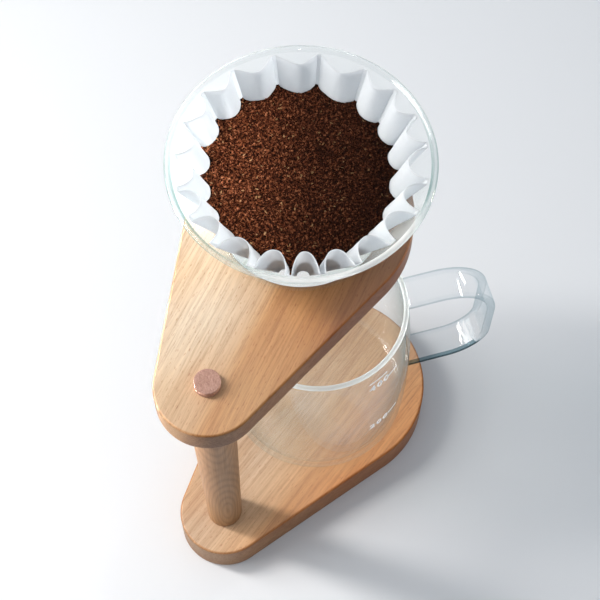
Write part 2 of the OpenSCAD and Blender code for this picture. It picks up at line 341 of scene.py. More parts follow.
def wood_board(name, rot, offset, warm, painted_side_shade, wall, patch, middle, painted_sheen_shade):
    """Straight-grained light hardwood: fine fibres along the board, short reddish pores and soft orange patches.
    A ramp across the board's width, about its middle line at middle, tints it: paler and greyer towards one long edge
    as painted sheen, darker and deeper orange towards the other as painted shade. wall darkens and warms its sides as
    painted shade."""
    m = Nodes(name)
    broad = m.noise(m.coords((7, 26, 26), rot, offset), 1.0, 2.0, 0.5, 0.5)
    zone = m.noise(m.coords((11, 15, 15), rot, patch), 1.0, 1.5, 0.45, 0.5)
    stripe = m.noise(m.coords((4.5, 330, 330), rot, offset), 1.0, 3.0, 0.6, 0.15)
    fibre = m.noise(m.coords((40, 1020, 1020), rot, offset), 1.0, 3.0, 0.66)
    rings = m.noise(m.coords((1.6, 95, 40), rot, offset), 1.0, 1.5, 0.5, 0.3)
    pores = m.noise(m.coords((380, 1900, 1900), rot, offset), 1.0, 1.5, 0.5)
    part = m.add("ShaderNodeSeparateXYZ")
    m.link(m.coords((1, 1 / 0.104, 1), rot, (0, 0.5 - middle / 0.104, 0)), part.inputs[0])
    lane = part.outputs[1]
    base = m.ramp(broad, [(0.32, (0.525, 0.297, 0.154)), (0.50, (0.575, 0.348, 0.198)), (0.68, (0.615, 0.398, 0.248))])
    col = m.mix(m.ramp(zone, [(0.42, (0, 0, 0)), (0.66, (0.85, 0.85, 0.85))]), base, m.mix(1.0, base, (1.0, 0.84, 0.64), "MULTIPLY"))
    # painted sheen and shade: the colour is tinted across the board's width, pale and grey towards one edge, dark and
    # orange towards the other
    col = m.mix(1.0, col, m.ramp(lane, painted_sheen_shade), "MULTIPLY")
    col = m.mix(0.45, col, m.ramp(rings, [(0.41, (1, 1, 1)), (0.50, (0.84, 0.74, 0.64)), (0.58, (1, 1, 1))]), "MULTIPLY")
    col = m.mix(0.55, col, m.ramp(stripe, [(0.30, (0.84, 0.76, 0.68)), (0.50, (1.0, 0.99, 0.98)), (0.70, (1.07, 1.09, 1.10))]), "MULTIPLY")
    col = m.mix(0.85, col, m.ramp(fibre, [(0.30, (0.70, 0.59, 0.50)), (0.53, (1.0, 1.0, 1.0)), (0.72, (1.13, 1.15, 1.17))]), "MULTIPLY")
    col = m.mix(0.75, col, m.ramp(pores, [(0.62, (1, 1, 1)), (0.72, (0.66, 0.43, 0.30))]), "MULTIPLY")
    # painted shade on the walls: their colour is darkened and warmed
    col = m.mix(m.math("MULTIPLY", m.attribute("side"), painted_side_shade), col, m.mix(1.0, col, wall, "MULTIPLY"))
    col = m.mix(m.math("MULTIPLY", m.attribute("edge"), warm), col, m.mix(1.0, col, (0.88, 0.60, 0.36), "MULTIPLY"))
    m.link(col, m.bsdf.inputs["Base Color"])
    m.link(m.ramp(fibre, [(0.3, (0.48, 0.48, 0.48)), (0.7, (0.37, 0.37, 0.37))]), m.bsdf.inputs["Roughness"])
    m.bump(m.math("SUBTRACT", fibre, m.math("MULTIPLY", m.math("GREATER_THAN", pores, 0.66), 0.6)), 0.20, 0.00025)
    sheen = m.ramp(m.attribute("side"), [(0.3, (1, 1, 1)), (0.9, (0.22, 0.22, 0.22))])
    m.link(m.math("MULTIPLY", sheen, m.math("SUBTRACT", 1.0, m.math("MULTIPLY", m.attribute("edge"), 0.75))), m.bsdf.inputs["Specular IOR Level"])
    return m.mat


def wood_post(name):
    """Paler, greyer wood whose growth rings show as soft nested arches on the turned surface."""
    m = Nodes(name)
    tc = m.add("ShaderNodeTexCoord")
    waves = []
    for at, period, bend in (((-0.1000, -0.0088, 0.048), 165.0, 5.5), ((-0.1025, -0.0068, 0.205), 150.0, 6.0)):
        shift = m.add("ShaderNodeMapping")
        shift.inputs["Scale"].default_value = (1.0, 1.0, 0.20)
        shift.inputs["Location"].default_value = (-at[0], -at[1], -0.20 * at[2])
        m.link(tc.outputs["Object"], shift.inputs["Vector"])
        wave = m.add("ShaderNodeTexWave")
        wave.wave_type, wave.rings_direction, wave.wave_profile = "RINGS", "SPHERICAL", "SIN"
        for k, v in (("Scale", period), ("Distortion", bend), ("Detail", 2.0), ("Detail Scale", 0.35), ("Detail Roughness", 0.6)):
            wave.inputs[k].default_value = v
        m.link(shift.outputs["Vector"], wave.inputs["Vector"])
        waves.append(wave.outputs["Fac"])
    part = m.add("ShaderNodeSeparateXYZ")
    m.link(tc.outputs["Object"], part.inputs[0])
    height = m.math("MULTIPLY", part.outputs[2], 5.0)
    rings = m.mix(m.ramp(height, [(0.50, (0, 0, 0)), (0.66, (1, 1, 1))]), waves[0], waves[1])
    streak = m.noise(m.coords((420, 420, 7), 0), 1.0, 3.0, 0.6)
    fibre = m.noise(m.coords((1500, 1500, 30), 0), 1.0, 3.0, 0.6)
    blot = m.noise(m.coords((60, 60, 12), 0), 1.0, 2.0, 0.5)
    col = m.ramp(rings, [(0.0, (0.390, 0.207, 0.092)), (0.55, (0.366, 0.191, 0.084)), (1.0, (0.312, 0.158, 0.067))])
    col = m.mix(0.75, col, m.ramp(streak, [(0.32, (0.82, 0.77, 0.72)), (0.52, (1, 1, 1)), (0.7, (1.08, 1.08, 1.09))]), "MULTIPLY")
    col = m.mix(0.6, col, m.ramp(fibre, [(0.3, (0.80, 0.75, 0.70)), (0.6, (1, 1, 1))]), "MULTIPLY")
    col = m.mix(0.7, col, m.ramp(blot, [(0.35, (0.88, 0.85, 0.82)), (0.6, (1.05, 1.05, 1.05))]), "MULTIPLY")
    m.link(col, m.bsdf.inputs["Base Color"])
    m.link(m.ramp(fibre, [(0.3, (0.58, 0.58, 0.58)), (0.7, (0.44, 0.44, 0.44))]), m.bsdf.inputs["Roughness"])
    m.bump(fibre, 0.16, 0.0002)
    m.set(Specular_IOR_Level=0.45)
    return m.mat


def wood_cap(name):
    """Dark plug: brown with short wavy grain."""
    m = Nodes(name)
    g = m.noise(m.coords((420, 1100, 420), math.radians(50)), 1.0, 4.0, 0.6, 1.4)
    f = m.noise(m.coords((2600, 2600, 2600), 0), 1.0, 2.0, 0.5)
    col = m.ramp(g, [(0.30, (0.330, 0.165, 0.120)), (0.5, (0.450, 0.250, 0.190)), (0.7, (0.540, 0.330, 0.265))])
    col = m.mix(0.5, col, m.ramp(f, [(0.35, (0.70, 0.66, 0.62)), (0.6, (1.05, 1.03, 1.02))]), "MULTIPLY")
    m.link(col, m.bsdf.inputs["Base Color"])
    m.link(m.ramp(g, [(0.3, (0.62, 0.62, 0.62)), (0.7, (0.48, 0.48, 0.48))]), m.bsdf.inputs["Roughness"])
    m.bump(g, 0.25, 0.0002)
    return m.mat


def clear_glass(name, tint, edge, wobble, glare_share=0.0, start=0.7, gloss_low=0.03, gloss_high=0.55, where=None):
    """Clear glass that lets lamp light through. It takes the colour edge where it is seen edge on, from start.
    The pale white share of its surface is painted glare, standing in for reflections and highlights, and the attribute
    where can limit it to a part of the piece; gloss_low and gloss_high are the reflection seen face on and edge on."""
    m = Nodes(name)
    face = m.add("ShaderNodeLayerWeight")
    face.inputs["Blend"].default_value = 0.5
    thin = m.add("ShaderNodeBsdfTransparent")
    m.link(m.ramp(face.outputs["Facing"], [(0.0, tint), (start, tint), ((1 + start) / 2, tuple((a + b) / 2 for a, b in zip(edge, tint))), (1.0, edge)]), thin.inputs["Color"])
    gloss = m.add("ShaderNodeBsdfGlossy")
    gloss.inputs["Color"].default_value = (1, 1, 1, 1)
    gloss.inputs["Roughness"].default_value = 0.03
    wave = m.add("ShaderNodeBump")
    wave.inputs["Strength"].default_value = wobble
    wave.inputs["Distance"].default_value = 0.0012
    m.link(m.noise(m.coords((38, 38, 24), 0), 1.0, 1.0, 0.4), wave.inputs["Height"])
    m.link(wave.outputs["Normal"], gloss.inputs["Normal"])
    shell = m.add("ShaderNodeMixShader")
    m.link(m.ramp(face.outputs["Facing"], [(0.0, (gloss_low,) * 3), (0.6, (gloss_low * 1.5,) * 3), (0.85, (gloss_low + 0.24 * gloss_high,) * 3), (1.0, (gloss_high,) * 3)]), shell.inputs[0])
    m.link(thin.outputs[0], shell.inputs[1])
    m.link(gloss.outputs[0], shell.inputs[2])
    last = shell
    # painted reflection and highlight: a pale white diffuse and translucent surface mixed into the glass
    if glare_share:
        pale = m.add("ShaderNodeBsdfTranslucent")
        pale.inputs["Color"].default_value = (0.95, 0.99, 0.98, 1)
        white = m.add("ShaderNodeBsdfDiffuse")
        white.inputs["Color"].default_value = (0.95, 0.99, 0.98, 1)
        half = m.add("ShaderNodeMixShader")
        half.inputs[0].default_value = 0.5
        m.link(white.outputs[0], half.inputs[1])
        m.link(pale.outputs[0], half.inputs[2])
        last = m.add("ShaderNodeMixShader")
        last.inputs[0].default_value = glare_share
        if where:
            m.link(m.math("MULTIPLY", m.attribute(where), glare_share), last.inputs[0])
        m.link(shell.outputs[0], last.inputs[1])
        m.link(half.outputs[0], last.inputs[2])
    path = m.add("ShaderNodeLightPath")
    clear = m.add("ShaderNodeBsdfTransparent")
    clear.inputs["Color"].default_value = (0.985, 0.992, 0.99, 1)
    mix = m.add("ShaderNodeMixShader")
    m.link(path.outputs["Is Shadow Ray"], mix.inputs[0])
    m.link(last.outputs[0], mix.inputs[1])
    m.link(clear.outputs[0], mix.inputs[2])
    m.link(mix.outputs[0], m.out.inputs["Surface"])
    return m.mat


def rim_glass(name):
    """Rolled rim of the dripper: a per-point attribute gives it a pale white surface, a painted highlight, and deep
    gives it a green depth.
    """
    m = Nodes(name)
    face = m.add("ShaderNodeLayerWeight")
    face.inputs["Blend"].default_value = 0.5
    streak = m.noise(m.coords((120, 120, 900), 0), 1.0, 2.0, 0.5)
    depth = m.ramp(m.attribute("deep"), [(0.0, (0.95, 0.97, 0.968)), (0.35, (0.66, 0.77, 0.755)), (1.0, (0.30, 0.46, 0.44))])
    depth = m.mix(m.ramp(face.outputs["Facing"], [(0.08, (0.22, 0.22, 0.22)), (0.52, (1, 1, 1))]), (0.985, 0.992, 0.99, 1), depth, "MIX")
    thin = m.add("ShaderNodeBsdfTransparent")
    m.link(depth, thin.inputs["Color"])
    gloss = m.add("ShaderNodeBsdfGlossy")
    gloss.inputs["Color"].default_value = (1, 1, 1, 1)
    gloss.inputs["Roughness"].default_value = 0.07
    shell = m.add("ShaderNodeMixShader")
    m.link(m.ramp(face.outputs["Facing"], [(0.0, (0.05, 0.05, 0.05)), (0.7, (0.09, 0.09, 0.09)), (1.0, (0.24, 0.24, 0.24))]), shell.inputs[0])
    m.link(thin.outputs[0], shell.inputs[1])
    m.link(gloss.outputs[0], shell.inputs[2])
    white = m.add("ShaderNodeBsdfDiffuse")
    pale = m.add("ShaderNodeBsdfTranslucent")
    for n in (white, pale):
        m.link(m.ramp(streak, [(0.3, (0.93, 0.96, 0.95)), (0.7, (0.99, 1.0, 1.0))]), n.inputs["Color"])
    half = m.add("ShaderNodeMixShader")
    half.inputs[0].default_value = 0.5
    m.link(white.outputs[0], half.inputs[1])
    m.link(pale.outputs[0], half.inputs[2])
    last = m.add("ShaderNodeMixShader")
    # painted highlight: a pale white diffuse and translucent surface, following the highlight attribute, with a little
    # everywhere
    m.link(m.math("ADD", m.math("MULTIPLY", m.attribute("painted_rim_highlight"), 0.72), 0.04), last.inputs[0])
    m.link(shell.outputs[0], last.inputs[1])
    m.link(half.outputs[0], last.inputs[2])
    path = m.add("ShaderNodeLightPath")
    clear = m.add("ShaderNodeBsdfTransparent")
    clear.inputs["Color"].default_value = (0.985, 0.992, 0.99, 1)
    mix = m.add("ShaderNodeMixShader")
    m.link(path.outputs["Is Shadow Ray"], mix.inputs[0])
    m.link(last.outputs[0], mix.inputs[1])
    m.link(clear.outputs[0], mix.inputs[2])
    m.link(mix.outputs[0], m.out.inputs["Surface"])
    return m.mat


def filter_paper(name):
    """Soft white crepe paper that lets some light through."""
    m = Nodes(name)
    fibre = m.noise(m.coords((900, 900, 900), 0), 1.0, 4.0, 0.65, 0.8)
    crepe = m.noise(m.coords((260, 260, 1500), 0), 1.0, 2.0, 0.5)
    col = m.ramp(fibre, [(0.3, (0.868, 0.892, 0.915)), (0.6, (0.922, 0.940, 0.955))])
    m.link(col, m.bsdf.inputs["Base Color"])
    m.link(m.ramp(crepe, [(0.3, (0.92, 0.92, 0.92)), (0.7, (0.80, 0.80, 0.80))]), m.bsdf.inputs["Roughness"])
    m.set(Specular_IOR_Level=0.15)
    m.bump(m.math("ADD", m.math("MULTIPLY", crepe, 0.9), fibre), 0.45, 0.00025)
    thin = m.add("ShaderNodeBsdfTranslucent")
    thin.inputs["Color"].default_value = (0.925, 0.943, 0.96, 1)
    mix = m.add("ShaderNodeMixShader")
    mix.inputs[0].default_value = 0.62
    m.link(m.bsdf.outputs[0], mix.inputs[1])
    m.link(thin.outputs[0], mix.inputs[2])
    m.link(mix.outputs[0], m.out.inputs["Surface"])
    return m.mat


def coffee_bulk(name):
    """Ground coffee between and under the larger grains."""
    m = Nodes(name)
    g = m.noise(m.coords((900, 900, 900), 0), 1.0, 3.0, 0.7)
    col = m.ramp(g, [(0.32, (0.005, 0.002, 0.0012)), (0.5, (0.020, 0.007, 0.0035)), (0.7, (0.060, 0.021, 0.010))])
    m.link(col, m.bsdf.inputs["Base Color"])
    m.link(m.ramp(g, [(0.3, (0.85, 0.85, 0.85)), (0.7, (0.65, 0.65, 0.65))]), m.bsdf.inputs["Roughness"])
    m.bump(g, 0.9, 0.0006)
    m.set(Specular_IOR_Level=0.05)
    return m.mat


def coffee_grain(name, stops, rough):
    """Broken grains: the colour changes from grain to grain and a little within one, and a painted shade makes the bed
    lighter on one side and much darker on the other.
    """
    m = Nodes(name)
    g = m.noise(m.coords((760, 760, 760), 0), 1.0, 1.0, 0.5)
    f = m.noise(m.coords((3200, 3200, 3200), 0), 1.0, 2.0, 0.6)
    col = m.ramp(g, stops)
    col = m.mix(0.6, col, m.ramp(f, [(0.3, (0.62, 0.58, 0.55)), (0.65, (1.15, 1.12, 1.1))]), "MULTIPLY")
    # painted shade: the colour is multiplied by a ramp along one direction across the bed, lighter on the lit left side
    # and darker to the right
    tc = m.add("ShaderNodeTexCoord")
    turn = m.add("ShaderNodeMapping")
    turn.inputs["Rotation"].default_value = (0, 0, math.radians(52.6))
    turn.inputs["Scale"].default_value = (9.0, 9.0, 9.0)
    m.link(tc.outputs["Object"], turn.inputs["Vector"])
    part = m.add("ShaderNodeSeparateXYZ")
    m.link(turn.outputs["Vector"], part.inputs[0])
    share = m.math("ADD", part.outputs[0], 0.62)
    col = m.mix(1.0, col, m.ramp(share, [(0.15, (1.32, 1.32, 1.32)), (0.5, (0.37, 0.355, 0.35)), (0.80, (0.14, 0.131, 0.127))]), "MULTIPLY")
    m.link(col, m.bsdf.inputs["Base Color"])
    m.link(m.ramp(f, [(0.3, (rough + 0.12,) * 3), (0.7, (rough - 0.08,) * 3)]), m.bsdf.inputs["Roughness"])
    m.bump(f, 0.3, 0.0001)
    m.set(Specular_IOR_Level=0.09)
    return m.mat


def metal(name, colour, rough, stretch):
    m = Nodes(name)
    g = m.noise(m.coords(stretch, 0), 1.0, 3.0, 0.6)
    m.link(m.ramp(g, [(0.3, tuple(c * 0.82 for c in colour)), (0.7, colour)]), m.bsdf.inputs["Base Color"])
    m.link(m.ramp(g, [(0.3, (rough + 0.12,) * 3), (0.7, (rough,) * 3)]), m.bsdf.inputs["Roughness"])
    m.set(Metallic=1.0)
    m.bump(g, 0.12, 0.0001)
    return m.mat


def plastic(name, colour):
    m = Nodes(name)
    g = m.noise(m.coords((1500, 1500, 1500), 0), 1.0, 3.0, 0.6)
    m.link(m.ramp(g, [(0.3, tuple(c * 0.9 for c in colour)), (0.7, colour)]), m.bsdf.inputs["Base Color"])
    m.link(m.ramp(g, [(0.3, (0.6,) * 3), (0.7, (0.48,) * 3)]), m.bsdf.inputs["Roughness"])
    m.bump(g, 0.1, 0.0001)
    return m.mat


def print_white(name):
    m = Nodes(name)
    g = m.noise(m.coords((2200, 2200, 2200), 0), 1.0, 2.0, 0.5)
    m.link(m.ramp(g, [(0.3, (0.97, 0.975, 0.98)), (0.6, (0.995, 0.995, 1.0))]), m.bsdf.inputs["Base Color"])
    m.link(m.ramp(g, [(0.3, (0.5,) * 3), (0.7, (0.36,) * 3)]), m.bsdf.inputs["Roughness"])
    thin = m.add("ShaderNodeBsdfTranslucent")
    thin.inputs["Color"].default_value = (0.99, 0.99, 1.0, 1)
    mix = m.add("ShaderNodeMixShader")
    mix.inputs[0].default_value = 0.5
    m.link(m.bsdf.outputs[0], mix.inputs[1])
    m.link(thin.outputs[0], mix.inputs[2])
    m.link(mix.outputs[0], m.out.inputs["Surface"])
    return m.mat


# the long colour lists paint sheen and shade across the arm and the base: pale grey ends are painted sheen, dark orange
# ends painted shade; the wall colour darkens the sides as painted shade
ARM_WOOD = wood_board("arm_wood", TURN, (3.1, 0.7, 0.2), 0.32, 0.95, (0.365, 0.307, 0.230), (0.3, 0.1, 0.5), 0.0195,
                      [(0.02, (0.62, 0.45, 0.30)), (0.13, (0.60, 0.42, 0.26)), (0.21, (0.82, 0.66, 0.43)), (0.30, (0.90, 0.76, 0.53)), (0.36, (0.91, 0.79, 0.57)), (0.42, (1.00, 0.92, 0.71)), (0.48, (1.02, 1.09, 1.10)), (0.62, (1.25, 1.61, 1.98)), (0.85, (1.32, 1.75, 2.25))])
BASE_WOOD = wood_board("base_wood", 0.0, (0.4, 2.3, 1.1), 0.6, 0.80, (0.40, 0.315, 0.225), (1.7, 0.4, 0.9), 0.0,
                       [(0.03, (1.16, 0.79, 0.44)), (0.26, (1.12, 0.98, 0.78)), (0.40, (1.10, 1.14, 1.10)), (0.55, (0.98, 1.08, 1.16)), (0.95, (1.02, 1.12, 1.20))])
POST_WOOD = wood_post("post_wood")
CAP_WOOD = wood_cap("cap_wood")
# painted reflection: the dripper's pale white share, limited to its upper walls by an attribute
DRIP_GLASS = clear_glass("dripper_clear", (0.985, 0.993, 0.990), (0.80, 0.88, 0.86), 0.10, 0.36, 0.8, 0.03, 0.28, "painted_glare_mask")
DRIP_RIM = rim_glass("dripper_rim")
# painted glare: the pale white shares give the jug a faint veil of reflection over its walls, a white rim and a pale
# foot ring, standing in for highlights
JUG_GLASS = clear_glass("jug_clear", (0.988, 0.994, 0.992), (0.60, 0.69, 0.70), 0.30, 0.022, 0.7, 0.04)
JUG_RIM = clear_glass("jug_rim", (0.98, 0.995, 0.99), (0.74, 0.84, 0.82), 0.05, 0.90, 0.5, 0.06)
JUG_FOOT = clear_glass("jug_foot", (0.985, 0.995, 0.995), (0.80, 0.86, 0.86), 0.05, 0.06, 0.6)
HANDLE_GLASS = clear_glass("handle_clear", (0.985, 0.992, 0.995), (0.74, 0.82, 0.85), 0.08, 0.0, 0.62)
HANDLE_EDGE = clear_glass("handle_edge", (0.93, 0.95, 0.96), (0.46, 0.57, 0.61), 0.05, 0.0, 0.35)
# the lower bar's narrow sides: a painted dark refraction
HANDLE_PAINTED_DARK = clear_glass("handle_edge_painted_dark", (0.32, 0.45, 0.49), (0.015, 0.08, 0.11), 0.05, 0.0, 0.25)
PAPER = filter_paper("filter_paper_white")
BULK = coffee_bulk("coffee_bulk")
GRAIN = coffee_grain("coffee_grain", [(0.28, (0.026, 0.0065, 0.0026)), (0.44, (0.142, 0.038, 0.0150)), (0.58, (0.340, 0.100, 0.040)), (0.74, (0.74, 0.29, 0.135))], 0.72)
CHAFF = coffee_grain("coffee_chaff", [(0.3, (0.42, 0.20, 0.075)), (0.6, (0.80, 0.47, 0.22))], 0.5)
STEEL = metal("bolt_steel", (0.62, 0.62, 0.64), 0.30, (300, 300, 2400))
BRASS = metal("insert_brass", (0.78, 0.58, 0.26), 0.28, (300, 300, 2400))
NYLON = plastic("washer_nylon", (0.82, 0.82, 0.79))
PRINT = print_white("print_white")


def dress(ob, mat, body, slot, *nodes):
    ob.data.materials.clear()
    ob.data.materials.append(mat)
    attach(ob, body)
    if nodes:
        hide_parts(*nodes)
    return ob


# ---------------------------------------------------------------- wooden pieces
base = dress(board("base_wood_board", 0.0, BASE_T, 0.0, 1.3), BASE_WOOD, "stand", "wood_board", "base_board")
arm = dress(board("arm_wood_board", ARM_LOW, ARM_TOP, TURN, 1.1, HOLE_R), ARM_WOOD, "arm", "wood_board", "arm_board")

# recess under the base for the bolt, cut into the finished board
cutter = lathe("cut_recess", [(0, -2), (7.0, -2), (7.0, 7.0), (0, 7.0)], 64, PIVOT)
cut = base.modifiers.new("recess", "BOOLEAN")
cut.operation, cut.object, cut.solver = "DIFFERENCE", cutter, "EXACT"
bpy.context.view_layer.objects.active = base
bpy.ops.object.modifier_apply(modifier="recess")
bpy.data.objects.remove(cutter)

post_line = rounded([(0, BASE_T + 0.02, 0), (9.0, BASE_T + 0.02, 0.6), (11.0, ARM_LOW - 1.0, 0.7), (0, ARM_LOW - 1.0, 0)])
post = dress(lathe("turned_post", split_long(post_line, 4.0), 96, PIVOT), POST_WOOD, "stand", "wood_post", "post")

cap_line = rounded([(0, 196.0, 0), (5.98, 196.0, 0.3), (5.98, 204.0, 0.4), (0, 204.0, 0)])
cap = dress(lathe("pivot_plug", split_long(cap_line, 1.2), 72, PIVOT), CAP_WOOD, "arm", "wood_cap", "pivot_cap")

# ---------------------------------------------------------------- glass dripper
slope = (glass_in(246.4) + 1.9 - 29.98) / (246.4 - 186.5)
outer = lambda z: 29.98 + slope * (z - 186.5)
inner_line = rounded([(0, FLOOR_Z, 0), (28.5, FLOOR_Z, 3.0), (glass_in(245.9), 245.9, 0)])
bead = arc(57.79, 246.39, 1.2, 154, -25, 14)
outer_line = rounded([(bead[-1][0], bead[-1][1], 0), (outer(244.4) + 0.1, 244.4, 1.2), (outer(203.8), 203.8, 1.2), (38.95, 203.8, 0)])
ring = arc(38.95, 201.95, 1.85, 90, -90, 12)
low_line = rounded([(38.95, 200.1, 0), (outer(200.1), 200.1, 0.8), (29.98, 186.5, 2.0), (27.0, 184.0, 0.8), (24.0, 184.0, 0.8), (24.0, 186.5, 0.8), (0, 186.5, 0)])
profile = inner_line + bead[1:] + outer_line[1:] + ring[1:] + low_line[1:]
dripper = lathe("dripper_cone", split_long(profile, 3.0), 160, DRIP)
for k in range(3):
    a = math.radians(120 * k + 30)
    drill = lathe("drill_%d" % k, [(0, 180), (2.5, 180), (2.5, 195), (0, 195)], 32, (DRIP[0] + 10 * math.cos(a), DRIP[1] + 10 * math.sin(a)))
    cut = dripper.modifiers.new("drain", "BOOLEAN")
    cut.operation, cut.object, cut.solver = "DIFFERENCE", drill, "EXACT"
    bpy.context.view_layer.objects.active = dripper
    bpy.ops.object.modifier_apply(modifier="drain")
    bpy.data.objects.remove(drill)
dress(dripper, DRIP_GLASS, "dripper", "glass", "dripper_glass")


def rim_faces(ob, mat, test):
    """Gives mat to the faces whose radius from the piece's axis and height, in mm, pass the test."""
    slot = len(ob.data.materials)
    ob.data.materials.append(mat)
    cx, cy = (DRIP if ob.name.startswith("dripper") else JUG)
    for f in ob.data.polygons:
        if test(math.hypot(f.center.x / MM - cx, f.center.y / MM - cy), f.center.z / MM):
            f.material_index = slot


rim_faces(dripper, DRIP_RIM, lambda r, z: z > 245.5 and r > 56.1)
# the rolled rim gets a painted highlight, pale white on the near side and along the far outer lip, and is deeper green
# where it is seen along its length; the upper wall gets a painted reflection, a pale veil towards the left, the near
# side and the right
NEAR = math.radians(-142.5)
painted_rim_highlight, deep, painted_glare_mask = [], [], []
for v in dripper.data.vertices:
    turned = (math.degrees(math.atan2(v.co.y / MM - DRIP[1], v.co.x / MM - DRIP[0]) - NEAR) + 180) % 360 - 180
    rise = min(max((v.co.z / MM - 206) / 22, 0), 1)
    # painted reflection: pale on the upper wall, strongest towards the left and the right, faint on the near side
    painted_glare_mask.append(rise * max(0.7 * math.exp(-((turned + 90) / 38) ** 2), 0.14 * math.exp(-(turned / 50) ** 2), 0.9 * math.exp(-((turned - 54) / 19) ** 2)))
    # painted highlight on the rim: pale on the near side and along the far outer lip
    up = min(max((v.normal.z + 0.05) / 0.5, 0), 1)
    pale = np.interp(turned, (-45, -25, -8, 8, 24, 50, 72), (0, 0.2, 0.42, 0.48, 1, 1, 0)) * (0.12 + 0.88 * up)
    away = math.radians(turned) + NEAR
    lip = min(max((v.normal.x * math.cos(away) + v.normal.y * math.sin(away) - 0.45) / 0.25, 0), 1)
    painted_rim_highlight.append(max(pale, 0.6 * lip * np.interp(abs(turned), (92, 115), (0, 1))))
    deep.append(np.interp(turned, (-130, -100, -75, -60, -42, -25, -8, 45, 60, 72, 88, 110, 140), (0.10, 0.55, 0.95, 1.0, 0.8, 0.35, 0.06, 0.0, 0.7, 1.0, 0.7, 0.3, 0.10)))
for label, values in (("painted_rim_highlight", painted_rim_highlight), ("deep", deep), ("painted_glare_mask", painted_glare_mask)):
    at = dripper.data.attributes.new(label, "FLOAT", "POINT")
    at.data.foreach_set("value", np.array(values, np.float32))

# ---------------------------------------------------------------- pleated paper
# where the folds touch the glass, in degrees about the dripper's axis
CUSPS = [-165, -148, -133, -117, -98, -80, -63, -44, -28, -12, 6, 29, 50, 71, 89.5, 108, 125, 142, 158, 175]
PAPER_LOW, PAPER_HIGH = 190.9, 246.8
FOLDS = len(CUSPS)
WALL, VALLEY = 28, 4  # points along a fold and across the narrow gap between two folds
fold_depth, fold_gap, fold_top, fold_open, fold_lean, cusp_top = [], [], [], [], [], []
for k in range(FOLDS):
    a0, a1 = CUSPS[k], CUSPS[(k + 1) % FOLDS] + (360 if k == FOLDS - 1 else 0)
    mid = math.radians((a0 + a1) / 2)
    away = math.cos(mid - NEAR)
    d = np.interp(away, (-1, -0.57, -0.09, 0.5, 0.82, 0.97, 1), (5.6, 6.2, 8.4, 9.3, 9.9, 11.2, 12.0))
    fold_depth.append(d * (0.95 + 0.10 * rng.random()) * (0.80 + 0.20 * (a1 - a0) / 18))
    fold_gap.append(0.086 + 0.024 * away + 0.014 * rng.uniform(-1, 1))
    fold_top.append(rng.uniform(-0.9, 0.3))
    fold_open.append(0.85 * max(0.0, -away) ** 0.7)
    fold_lean.append(rng.uniform(-0.42, 0.42))
    cusp_top.append(rng.uniform(-0.8, 0.1))


def paper_r(k, s, z):
    """Radius of the paper's outer face in fold k, at share s of the fold: a round arch with steep sides, which opens
    into a soft wave towards the top on the far side."""
    h = max((z - PAPER_LOW) / (PAPER_HIGH - PAPER_LOW), 0)
    g = fold_gap[k]
    u = min(max((s - g) / (1 - 2 * g), 0), 1)
    depth = 2.6 + (fold_depth[k] - 2.6) * h ** 1.35
    arch = math.sqrt(max(0.0, 1 - abs(2 * u - 1) ** 2.4))
    open_ = min(1.0, fold_open[k] * h ** 2)
    t = u + fold_lean[k] * h * u * (1 - u)
    return glass_in(z) - 0.78 - depth * (arch + (math.sin(math.pi * t) ** 1.25 - arch) * open_)


def paper_at(theta_deg, z):
    """Radius of the paper's outer face at an angle."""
    t = (theta_deg - CUSPS[0]) % 360 + CUSPS[0]
    for k in range(FOLDS):
        a0, a1 = CUSPS[k], CUSPS[(k + 1) % FOLDS] + (360 if k == FOLDS - 1 else 0)
        if a0 <= t <= a1:
            return paper_r(k, (t - a0) / (a1 - a0), z)
    return paper_r(0, 0.0, z)


stations = []
for k in range(FOLDS):
    a0, a1 = CUSPS[k], CUSPS[(k + 1) % FOLDS] + (360 if k == FOLDS - 1 else 0)
    g = fold_gap[k]
    shares = [g * i / VALLEY for i in range(VALLEY)]
    shares += [g + (1 - 2 * g) * (0.5 - 0.5 * math.cos(math.pi * i / WALL)) for i in range(WALL + 1)]
    shares += [1 - g + g * i / VALLEY for i in range(1, VALLEY)]
    stations += [(k, s, math.radians(a0 + (a1 - a0) * s)) for s in shares]
NP = len(stations)
LEVELS = 26
PAPER_T = 0.32


def set_in(points, by):
    """Moves a closed outline inwards, square to itself."""
    p = np.array(points)
    t = np.roll(p, -1, 0) - np.roll(p, 1, 0)
    n = np.stack([-t[:, 1], t[:, 0]], 1)
    n /= np.maximum(np.linalg.norm(n, axis=1), 1e-9)[:, None]
    return p + n * by


def paper_rings(inset):
    rings = []
    for j in range(LEVELS + 1):
        h = j / LEVELS
        flat, heights = [], []
        for k, s, a in stations:
            top = PAPER_HIGH - 0.35 + cusp_top[k] * (1 - s) + cusp_top[(k + 1) % FOLDS] * s + fold_top[k] * math.sin(math.pi * s)
            z = PAPER_LOW + (top - PAPER_LOW) * h
            w = min(noise.noise(Vector((math.cos(a) * 9, math.sin(a) * 9, z * 0.11))) * 0.28 * h, 0.12)
            r = paper_r(k, s, z) + w
            flat.append((r * math.cos(a), r * math.sin(a)))
            heights.append(z)
        if inset:
            flat = set_in(flat, inset)
        rings.append([(DRIP[0] + x, DRIP[1] + y, z) for (x, y), z in zip(flat, heights)])
    return rings


